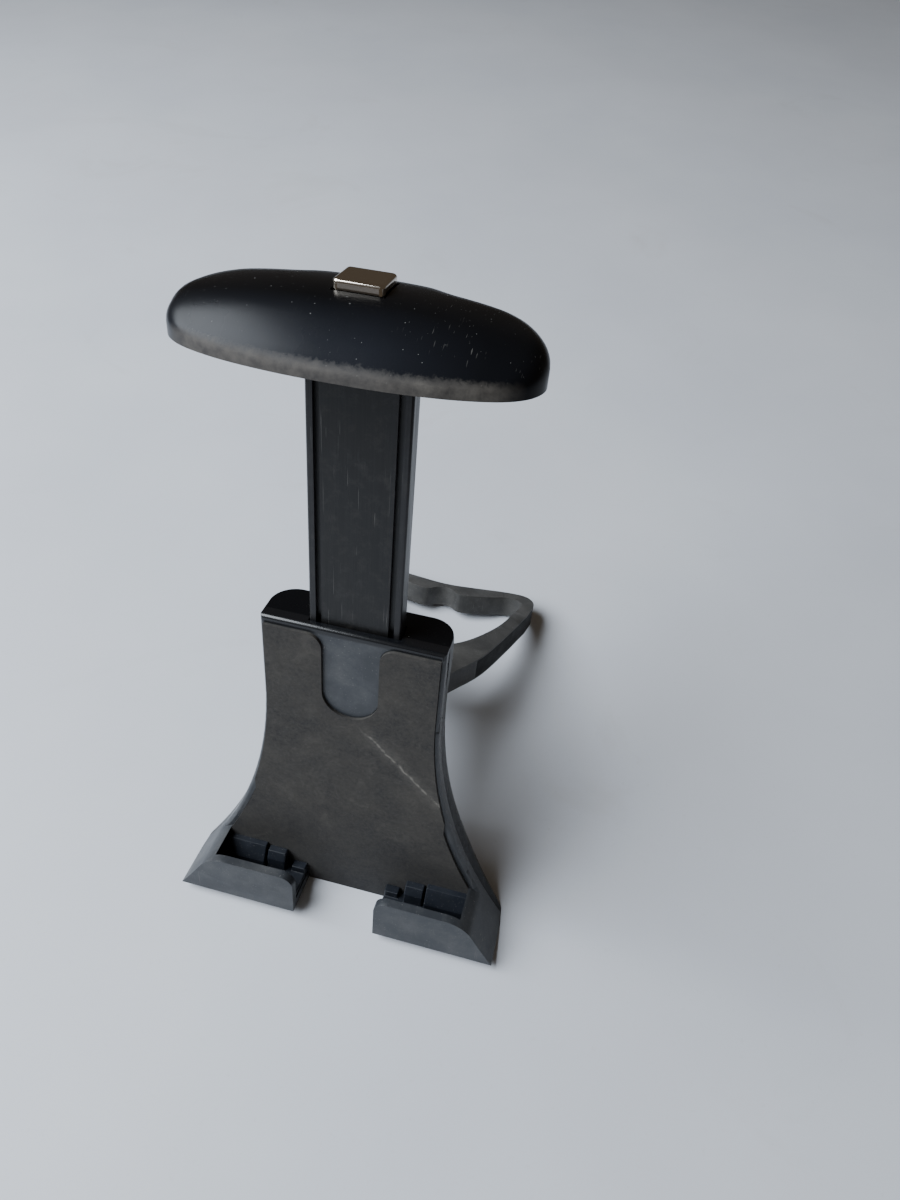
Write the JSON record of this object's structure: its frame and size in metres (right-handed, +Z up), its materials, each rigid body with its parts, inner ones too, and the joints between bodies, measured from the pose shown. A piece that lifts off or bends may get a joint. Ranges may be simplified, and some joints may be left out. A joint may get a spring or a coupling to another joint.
{
  "type": "clamping tablet stand",
  "caption": "Leaning cradle with two rubber-lined ledges, a sliding spring-released clamp head on a rail, and a swivelling, tilting loop handle as rear leg.",
  "frame": {"origin": "on the table, centred under the stand's bounding box", "axes": "+Z up, -Y towards the viewer (the side that faces the user), +X to the viewer's right; the cradle leans 12 degrees back"},
  "size_m": [0.11, 0.1585, 0.203],
  "materials": {
    "gloss_black_shell": "gloss",
    "satin_black_casing": "satin",
    "face_rubber": "matte",
    "ledge_rubber": "matte",
    "rail_black": "satin",
    "strip_black": "satin",
    "inner_black": "matte",
    "jaw_rubber": "matte",
    "button_chrome": "polished",
    "steel": "satin",
    "spring_steel": "satin",
    "brake_rubber": "matte",
    "nylon_white": "matte",
    "handle_grey": "satin",
    "grip_rubber": "matte"
  },
  "bodies": {
    "cradle": {"front_casing": "satin_black_casing", "back_shell": "gloss_black_shell", "face_pad": "face_rubber", "left_ledge_pad": "ledge_rubber", "right_ledge_pad": "ledge_rubber", "casing_screws": "steel", "rail_guides": "inner_black", "brake_track": "inner_black", "slip_ring": "nylon_white"},
    "clamp": {"rail": "rail_black", "rail_strip": "strip_black", "rail_end_block": "inner_black", "rod_spring": "spring_steel", "head_cover": "gloss_black_shell", "head_base": "inner_black", "head_screws": "steel", "jaw_pad": "jaw_rubber"},
    "release_button": {"button": "button_chrome", "push_rod": "inner_black"},
    "shoe": {"brake_shoe": "brake_rubber"},
    "hub": {"swivel_hub": "gloss_black_shell", "hub_retainer": "steel", "hub_screw": "steel", "hinge_pin": "steel", "pin_clip": "steel", "friction_washers": "nylon_white"},
    "handle": {"handle_core": "handle_grey", "handle_grip": "grip_rubber"}
  },
  "joints": [
    {"name": "clamp_slide", "type": "slide", "parent": "cradle", "child": "clamp", "axis": [0, 0.2079, 0.9781], "range_m": [-0.07, 0.004]},
    {"name": "button_press", "type": "slide", "parent": "clamp", "child": "release_button", "axis": [0, -0.2079, -0.9781], "range_m": [0, 0.0022], "stiffness_N_per_m": 600, "springref_m": -0.002, "deforming": ["rod_spring"]},
    {"name": "shoe_release", "type": "slide", "parent": "clamp", "child": "shoe", "axis": [0, -0.9781, 0.2079], "range_m": [0, 0.0005]},
    {"name": "hub_swivel", "type": "hinge", "parent": "cradle", "child": "hub", "pos_m": [0, -0.03848, 0.04775], "axis": [0, -0.9781, 0.2079], "continuous": true},
    {"name": "handle_tilt", "type": "hinge", "parent": "hub", "child": "handle", "pos_m": [0, -0.02674, 0.04525], "axis": [1, 0, 0], "range_deg": [-79, 97]}
  ],
  "couplings": [
    {"joint": "shoe_release", "follows": "button_press", "ratio": 0.2}
  ]
}
